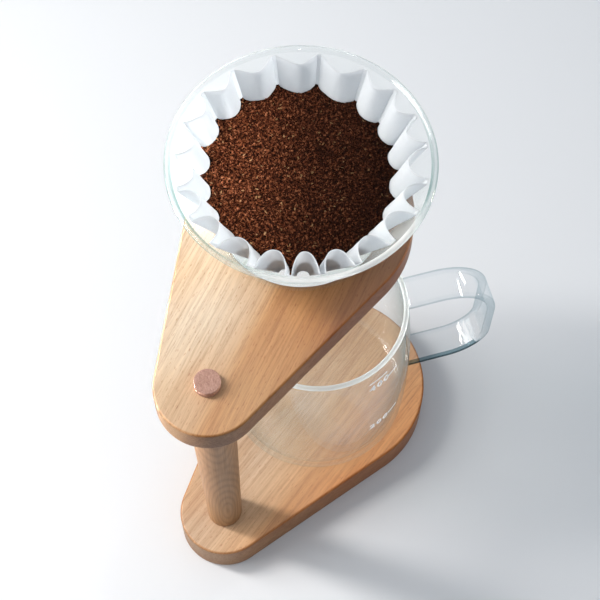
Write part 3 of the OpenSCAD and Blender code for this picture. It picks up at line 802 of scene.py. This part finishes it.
verts, faces = [], []
out_rings, in_rings = paper_rings(0.0), paper_rings(PAPER_T)
for ring in out_rings:
    verts += ring
for ring in in_rings[::-1]:
    verts += [(x, y, z + (PAPER_T if ring is in_rings[0] else 0)) for x, y, z in ring]
total = 2 * (LEVELS + 1)
for j in range(total - 1):
    faces += [(j * NP + k, j * NP + (k + 1) % NP, (j + 1) * NP + (k + 1) % NP, (j + 1) * NP + k) for k in range(NP)]
for row, z in ((0, PAPER_LOW), (total - 1, PAPER_LOW + PAPER_T)):
    prev = row * NP
    for f in (0.94, 0.7, 0.4):
        start = len(verts)
        for k in range(NP):
            x, y, _ = verts[row * NP + k]
            verts.append((DRIP[0] + (x - DRIP[0]) * f, DRIP[1] + (y - DRIP[1]) * f, z))
        faces += [(prev + k, prev + (k + 1) % NP, start + (k + 1) % NP, start + k) for k in range(NP)]
        prev = start
    centre = len(verts)
    verts.append((DRIP[0], DRIP[1], z))
    faces += [(prev + k, prev + (k + 1) % NP, centre) for k in range(NP)]
paper = dress(make("pleated_paper", verts, faces), PAPER, "filter", "paper", "filter_paper")

# ---------------------------------------------------------------- coffee
SLOPE = (math.cos(math.radians(57)), math.sin(math.radians(57)))


def coffee_z(x, y):
    """Height of the coffee's surface at a place measured from the dripper's axis: it slopes up to the far left."""
    along = x * SLOPE[0] + y * SLOPE[1]
    r = math.hypot(x, y)
    soft = 1.1 * noise.noise(Vector((x * 0.045, y * 0.045, 3.7))) + 0.45 * noise.noise(Vector((x * 0.16, y * 0.16, 9.1)))
    return 226.4 + 0.140 * along + 4.0 * max(0.0, 1 - (r / 46) ** 2) + soft


def coffee_edge(theta_deg):
    """Radius and height at which the surface meets the paper."""
    t = math.radians(theta_deg)
    r, z = 42.0, 0.0
    for _ in range(6):
        z = coffee_z(r * math.cos(t), r * math.sin(t))
        r = paper_at(theta_deg, z)
    return r, z


CLEAR = PAPER_T + 0.22
edge = [coffee_edge(math.degrees(a)) for _, _, a in stations]
rim = set_in([(r * math.cos(a), r * math.sin(a)) for (_, _, a), (r, _) in zip(stations, edge)], CLEAR)
verts, faces = [], []
RINGS = 44
for j in range(1, RINGS + 1):
    for x0, y0 in rim:
        f = (j / RINGS) ** 0.85
        x, y = x0 * f, y0 * f
        rough = 0.30 * noise.noise(Vector((x * 0.9, y * 0.9, 1.3))) + 0.22 * noise.noise(Vector((x * 2.1, y * 2.1, 5.3)))
        verts.append((DRIP[0] + x, DRIP[1] + y, coffee_z(x, y) - 0.25 + rough))
centre = len(verts)
verts.append((DRIP[0], DRIP[1], coffee_z(0, 0) - 0.25))
faces += [(centre, k, (k + 1) % NP) for k in range(NP)]
for j in range(RINGS - 1):
    faces += [(j * NP + k, (j + 1) * NP + k, (j + 1) * NP + (k + 1) % NP, j * NP + (k + 1) % NP) for k in range(NP)]
prev = (RINGS - 1) * NP
tops = [v[2] for v in verts[(RINGS - 1) * NP:RINGS * NP]]
for h in (0.66, 0.33, 0.0):
    start = len(verts)
    levels = [191.8 + (z0 - 191.8) * h for z0 in tops]
    ringxy = set_in([(paper_r(k, s, z) * math.cos(a), paper_r(k, s, z) * math.sin(a)) for (k, s, a), z in zip(stations, levels)], CLEAR)
    verts += [(DRIP[0] + x, DRIP[1] + y, z) for (x, y), z in zip(ringxy, levels)]
    faces += [(prev + k, start + k, start + (k + 1) % NP, prev + (k + 1) % NP) for k in range(NP)]
    prev = start
foot = len(verts)
verts.append((DRIP[0], DRIP[1], 191.8))
faces += [(prev + k, foot, prev + (k + 1) % NP) for k in range(NP)]
bed = dress(make("coffee_grounds", verts, faces), BULK, "filter", "coffee", "coffee_bed")

# loose grains on the surface: broken angular shards, with a few pale flakes among them
PHI = (1 + 5 ** 0.5) / 2
ICO = [Vector(v).normalized() for v in ((-1, PHI, 0), (1, PHI, 0), (-1, -PHI, 0), (1, -PHI, 0), (0, -1, PHI), (0, 1, PHI), (0, -1, -PHI), (0, 1, -PHI), (PHI, 0, -1), (PHI, 0, 1), (-PHI, 0, -1), (-PHI, 0, 1))]
ICO_F = [(0, 11, 5), (0, 5, 1), (0, 1, 7), (0, 7, 10), (0, 10, 11), (1, 5, 9), (5, 11, 4), (11, 10, 2), (10, 7, 6), (7, 1, 8), (3, 9, 4), (3, 4, 2), (3, 2, 6), (3, 6, 8), (3, 8, 9), (4, 9, 5), (2, 4, 11), (6, 2, 10), (8, 6, 7), (9, 8, 1)]


OCTA = [Vector(v) for v in ((1, 0, 0), (-1, 0, 0), (0, 1, 0), (0, -1, 0), (0, 0, 1), (0, 0, -1))]
OCTA_F = [(0, 2, 4), (2, 1, 4), (1, 3, 4), (3, 0, 4), (2, 0, 5), (1, 2, 5), (3, 1, 5), (0, 3, 5)]


def lump(x, y, z, size, flat, verts, faces, long=1.0, shape=(ICO, ICO_F)):
    turn = Matrix.Rotation(rng.uniform(0, 6.283), 3, "Z") @ Matrix.Rotation(rng.uniform(-0.7, 0.7), 3, "X") @ Matrix.Rotation(rng.uniform(-0.7, 0.7), 3, "Y")
    sx, sy, sz = size * rng.uniform(0.9, 1.45) * long, size * rng.uniform(0.6, 1.0), size * rng.uniform(0.6, 1.0) * flat
    start = len(verts)
    for v in shape[0]:
        q = turn @ Vector((v.x * sx, v.y * sy, v.z * sz)) * rng.uniform(0.72, 1.18)
        verts.append((x + q.x, y + q.y, z + q.z))
    faces += [tuple(start + i for i in f) for f in shape[1]]


FINE = 1440
table = [coffee_edge(360 * d / FINE)[0] - CLEAR for d in range(FINE)]


def inside(x, y, margin):
    r = math.hypot(x, y)
    if r < 30:
        return True
    mid = math.degrees(math.atan2(y, x)) % 360 * FINE / 360
    reach = math.degrees(margin / r) * FINE / 360
    return all(r < table[i % FINE] - margin for i in range(math.floor(mid - reach), math.ceil(mid + reach) + 1))


gv, gf, cv, cf = [], [], [], []
PITCH = 0.78
rows = int(50 / (PITCH * 0.866))
for j in range(-rows, rows + 1):
    for i in range(-70, 71):
        x = (i + 0.5 * (j % 2)) * PITCH + rng.uniform(-0.28, 0.28)
        y = j * PITCH * 0.866 + rng.uniform(-0.28, 0.28)
        size = min(0.66, max(0.24, rng.gauss(0.42, 0.10)))
        if not inside(x, y, 0.6 * size + 0.1):
            continue
        z = coffee_z(x, y) + rng.uniform(-0.32, 0.45)
        if rng.random() < 0.013:
            lump(DRIP[0] + x, DRIP[1] + y, z + 0.22, size, 0.55, cv, cf, 1.55)
        else:
            lump(DRIP[0] + x, DRIP[1] + y, z, size * 1.12, 1.0, gv, gf, 1.1, (OCTA, OCTA_F))
grains = dress(make("coffee_grains", gv, gf, False), GRAIN, "filter", "coffee")
chaff = dress(make("coffee_flakes", cv, cf, False), CHAFF, "filter", "coffee")

# ---------------------------------------------------------------- glass jug
jug_in = rounded([(0, 26.0, 0), (20, 25.6, 0), (jug_wall(25.2) - 2.2, 25.2, 3.0)] + [(jug_wall(z) - 2.2, z, 0) for z in range(32, 125, 4)] + [(42.75, 125.6, 0)])
jug_bead = arc(43.85, 126.9, 1.25, 190, -20, 12)
jug_out = rounded([(jug_bead[-1][0], jug_bead[-1][1], 0)] + [(jug_wall(z) - 0.02, z, 0) for z in range(124, 27, -4)] + [(jug_wall(JUG_LOW) - 0.05, JUG_LOW, 2.8), (36.0, JUG_LOW, 1.2), (33.5, JUG_LOW + 0.9, 1.2), (0, JUG_LOW + 1.3, 0)])
jug_line = jug_in + jug_bead[1:] + jug_out[1:]
jug = dress(lathe("jug_body", split_long(jug_line, 4.0), 160, JUG), JUG_GLASS, "server", "glass", "server_body")
rim_faces(jug, JUG_RIM, lambda r, z: z > JUG_HIGH - 2.4)
rim_faces(jug, JUG_FOOT, lambda r, z: z < 28.0 and r > 43.5)

# strap handle: a rounded flat bar swept along a D, with its ends trimmed to the jug's wall
HIGH, LOW, OUT, TOP_BEND, LOW_BEND, WID, THK, SOFT = 115.62, 40.38, 92.62, 30.6, 19.6, 16.7, 4.5, 1.4
path = [(48.0, HIGH)] + [(48.0 + (OUT - TOP_BEND - 48.0) * k / 8, HIGH) for k in range(1, 9)]
path += arc(OUT - TOP_BEND, HIGH - TOP_BEND, TOP_BEND, 90, 0, 24)[1:]
path += [(OUT, HIGH - TOP_BEND - (HIGH - LOW - TOP_BEND - LOW_BEND) * k / 10) for k in range(1, 11)]
path += arc(OUT - LOW_BEND, LOW + LOW_BEND, LOW_BEND, 0, -90, 20)[1:]
path += [(OUT - LOW_BEND - (OUT - LOW_BEND - 50.0) * k / 8, LOW) for k in range(1, 9)]
section = []
for sx, sy, a0 in ((1, 1, 0), (-1, 1, 90), (-1, -1, 180), (1, -1, 270)):
    section += [(sx * (WID / 2 - SOFT) + SOFT * math.cos(math.radians(a0 + 90 * k / 6)), sy * (THK / 2 - SOFT) + SOFT * math.sin(math.radians(a0 + 90 * k / 6))) for k in range(7)]
verts, faces = [], []
ns = len(section)
ca, sa = math.cos(HANDLE_TURN), math.sin(HANDLE_TURN)
for i, (u, z) in enumerate(path):
    a, b = path[max(i - 1, 0)], path[min(i + 1, len(path) - 1)]
    tu, tz = b[0] - a[0], b[1] - a[1]
    tl = math.hypot(tu, tz)
    nu, nz = -tz / tl, tu / tl
    for t, w in section:
        uu, zz = u + nu * w, z + nz * w
        if i in (0, len(path) - 1):
            uu = math.sqrt((jug_wall(zz) - 0.03) ** 2 - t * t)
        verts.append((JUG[0] + uu * ca - t * sa, JUG[1] + uu * sa + t * ca, zz))
for i in range(len(path) - 1):
    faces += [(i * ns + k, i * ns + (k + 1) % ns, (i + 1) * ns + (k + 1) % ns, (i + 1) * ns + k) for k in range(ns)]
faces += [tuple(range(ns)), tuple(range((len(path) - 1) * ns, len(path) * ns))]
handle = dress(make("jug_handle", verts, faces), HANDLE_GLASS, "server", "glass", "server_handle")
# the narrow sides are seen through more glass than the flats; along the lower bar their much darker tint is a painted
# dark refraction
handle.data.materials.append(HANDLE_EDGE)
handle.data.materials.append(HANDLE_PAINTED_DARK)
for n, f in enumerate(handle.data.polygons):
    i, k = divmod(n, ns)
    if i < len(path) - 1 and k not in (6, 20):
        f.material_index = 2 if 7 <= k < 20 and i > len(path) - 22 else 1

# printed volume marks, wrapped round the jug
def wrapped(name, ob_mesh, az, z0):
    verts = []
    for v in ob_mesh.vertices:
        r = jug_wall(z0 + v.co.y) + 0.05
        a = math.radians(az) + v.co.x / r
        verts.append(((JUG[0] + (r + v.co.z) * math.cos(a)), (JUG[1] + (r + v.co.z) * math.sin(a)), z0 + v.co.y))
    return make(name, verts, [tuple(p.vertices) for p in ob_mesh.polygons], False)


def number_mesh(text, height):
    cu = bpy.data.curves.new("digits", "FONT")
    cu.body = text
    cu.size = height / 0.69
    cu.align_x = "CENTER"
    cu.space_character = 1.28
    cu.offset = 0.21
    cu.extrude = 0.05
    cu.resolution_u = 4
    ob = bpy.data.objects.new("digits", cu)
    bpy.context.scene.collection.objects.link(ob)
    bpy.context.view_layer.update()
    me = bpy.data.meshes.new_from_object(ob.evaluated_get(bpy.context.evaluated_depsgraph_get()))
    bpy.data.objects.remove(ob)
    bm = bmesh.new()
    bm.from_mesh(me)
    bmesh.ops.remove_doubles(bm, verts=bm.verts, dist=1e-4)
    bm.to_mesh(me)
    bm.free()
    return me


def tick_mesh(width, height):
    me = bpy.data.meshes.new("tick")
    n = 14
    v, f = [], []
    for i in range(n + 1):
        x = -width / 2 + width * i / n
        v += [(x, -height / 2, -0.05), (x, height / 2, -0.05), (x, height / 2, 0.05), (x, -height / 2, 0.05)]
    for i in range(n):
        for k in range(4):
            f.append((4 * i + k, 4 * i + (k + 1) % 4, 4 * i + 4 + (k + 1) % 4, 4 * i + 4 + k))
    f += [(0, 1, 2, 3), (4 * n, 4 * n + 1, 4 * n + 2, 4 * n + 3)]
    me.from_pydata(v, [], f)
    return me


for text, az, z in (("400", -101.5, 112.3), ("200", -101.2, 64.6)):
    dress(wrapped("mark_%s" % text, number_mesh(text, 4.8), az, z - 2.4), PRINT, "server", "glass")
    dress(wrapped("tick_%s" % text, tick_mesh(7.0, 1.1), az + 12.0, z), PRINT, "server", "glass")
dress(wrapped("line_400", tick_mesh(11.5, 1.0), -102.0, 118.0), PRINT, "server", "glass")

# ---------------------------------------------------------------- hidden hardware keeps its CAD shape
for names, mat in ((("base_bolt", "base_washer", "pivot_bolt", "pivot_washer"), STEEL), (("top_insert", "bottom_insert"), BRASS), (("thrust_washer",), NYLON)):
    for n in names:
        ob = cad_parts[n]
        ob.data.materials.clear()
        ob.data.materials.append(mat)

# ---------------------------------------------------------------- stage, light and camera
floor = make("floor", [(-6000, -6000, -0.3), (6000, -6000, -0.3), (6000, 6000, -0.3), (-6000, 6000, -0.3)], [(0, 1, 2, 3)], False)
fm = Nodes("floor_pale")
fm.link(fm.ramp(fm.noise(fm.coords((3, 3, 3), 0), 1.0, 2.0, 0.5), [(0.3, (0.800, 0.820, 0.845)), (0.7, (0.815, 0.832, 0.853))]), fm.bsdf.inputs["Base Color"])
fm.set(Roughness=0.6, Specular_IOR_Level=0.25)
floor.data.materials.append(fm.mat)

# a room that is brighter overhead than at the horizon
world = bpy.data.worlds.new("studio")
bpy.context.scene.world = world
world.use_nodes = True
wt = world.node_tree
bg = next(n for n in wt.nodes if n.type == "BACKGROUND")
wc, wx, wm, wr = (wt.nodes.new(k) for k in ("ShaderNodeTexCoord", "ShaderNodeSeparateXYZ", "ShaderNodeMath", "ShaderNodeValToRGB"))
wm.operation = "MULTIPLY_ADD"
wm.inputs[1].default_value, wm.inputs[2].default_value = 0.5, 0.5
els = wr.color_ramp.elements
els[0].position, els[0].color = 0.50, (0.30, 0.33, 0.37, 1)
els[1].position, els[1].color = 1.00, (0.90, 0.96, 1.02, 1)
for at, c in ((0.62, (0.40, 0.44, 0.49, 1)), (0.80, (0.62, 0.67, 0.73, 1))):
    els.new(at).color = c
wt.links.new(wc.outputs["Generated"], wx.inputs[0])
wt.links.new(wx.outputs[2], wm.inputs[0])
wt.links.new(wm.outputs[0], wr.inputs[0])
wt.links.new(wr.outputs[0], bg.inputs["Color"])
bg.inputs["Strength"].default_value = 0.62


def lamp(name, place, target, size, power, colour):
    light = bpy.data.lights.new(name, "AREA")
    light.shape, light.size, light.size_y = "RECTANGLE", size[0], size[1]
    light.energy, light.color = power, colour
    ob = bpy.data.objects.new(name, light)
    ob.location = place
    ob.rotation_mode = "QUATERNION"
    ob.rotation_quaternion = (Vector(target) - Vector(place)).to_track_quat("-Z", "Y")
    bpy.context.scene.collection.objects.link(ob)
    return ob


lamp("key", (-0.26, 0.50, 0.80), (-0.05, 0.0, 0.10), (0.09, 0.40), 4.5, (1.0, 0.955, 0.91))
lamp("key_low", (-0.34, 0.86, 0.68), (-0.05, 0.0, 0.10), (0.12, 0.30), 1.5, (1.0, 0.97, 0.94))
lamp("soft_left", (-0.64, 0.80, 0.42), (-0.02, 0.0, 0.16), (0.8, 0.5), 2.2, (1.0, 0.98, 0.96)).data.spread = math.radians(90)
lamp("strip_left", (-0.55, 0.73, 0.13), (-0.002, 0.02, 0.232), (0.25, 0.08), 0.36, (1.0, 0.99, 0.98)).data.spread = math.radians(14)

lamp("strip_post", (-0.62, 0.52, 0.10), (-0.10, 0.0, 0.10), (0.10, 0.12), 0.034, (1.0, 0.99, 0.98)).data.spread = math.radians(14)
lamp("fill_right", (0.55, -0.50, 0.17), (-0.01, -0.03, 0.193), (0.10, 0.05), 0.029, (1.0, 0.93, 0.76)).data.spread = math.radians(12)
lamp("fill_near", (-0.60, -0.46, 0.55), (-0.044, -0.014, 0.235), (0.06, 0.06), 0.0022, (1.0, 0.98, 0.96)).data.spread = math.radians(5.5)
lamp("spark", (0.81, -0.19, 0.39), (0.066, -0.052, 0.112), (0.10, 0.06), 0.006, (1.0, 1.0, 1.0)).data.spread = math.radians(9)

paths = bpy.context.scene.cycles
paths.max_bounces, paths.transmission_bounces, paths.transparent_max_bounces = 20, 20, 40
paths.caustics_reflective = paths.caustics_refractive = False

cam_data = bpy.data.cameras.new("camera")
cam_data.sensor_width = 36.0
cam_data.lens = 1549.93 / 600 * 36.0
cam_data.clip_start, cam_data.clip_end = 0.05, 30
cam = bpy.data.objects.new("camera", cam_data)
right = Vector((0.60783, -0.79407, 0.00132))
down = Vector((-0.71734, -0.54981, -0.42794))
ahead = Vector((0.34054, 0.25917, -0.90380))
m = Matrix.Identity(4)
for i, v in enumerate((right, -down, -ahead)):
    for j in range(3):
        m[j][i] = v[j]
m.translation = Vector((-0.27166, -0.18528, 0.82146))
cam.matrix_world = m
bpy.context.scene.collection.objects.link(cam)
bpy.context.scene.camera = cam
bpy.context.scene.view_settings.view_transform = "Standard"
bpy.context.scene.view_settings.look = "None"

bpy.context.view_layer.update()
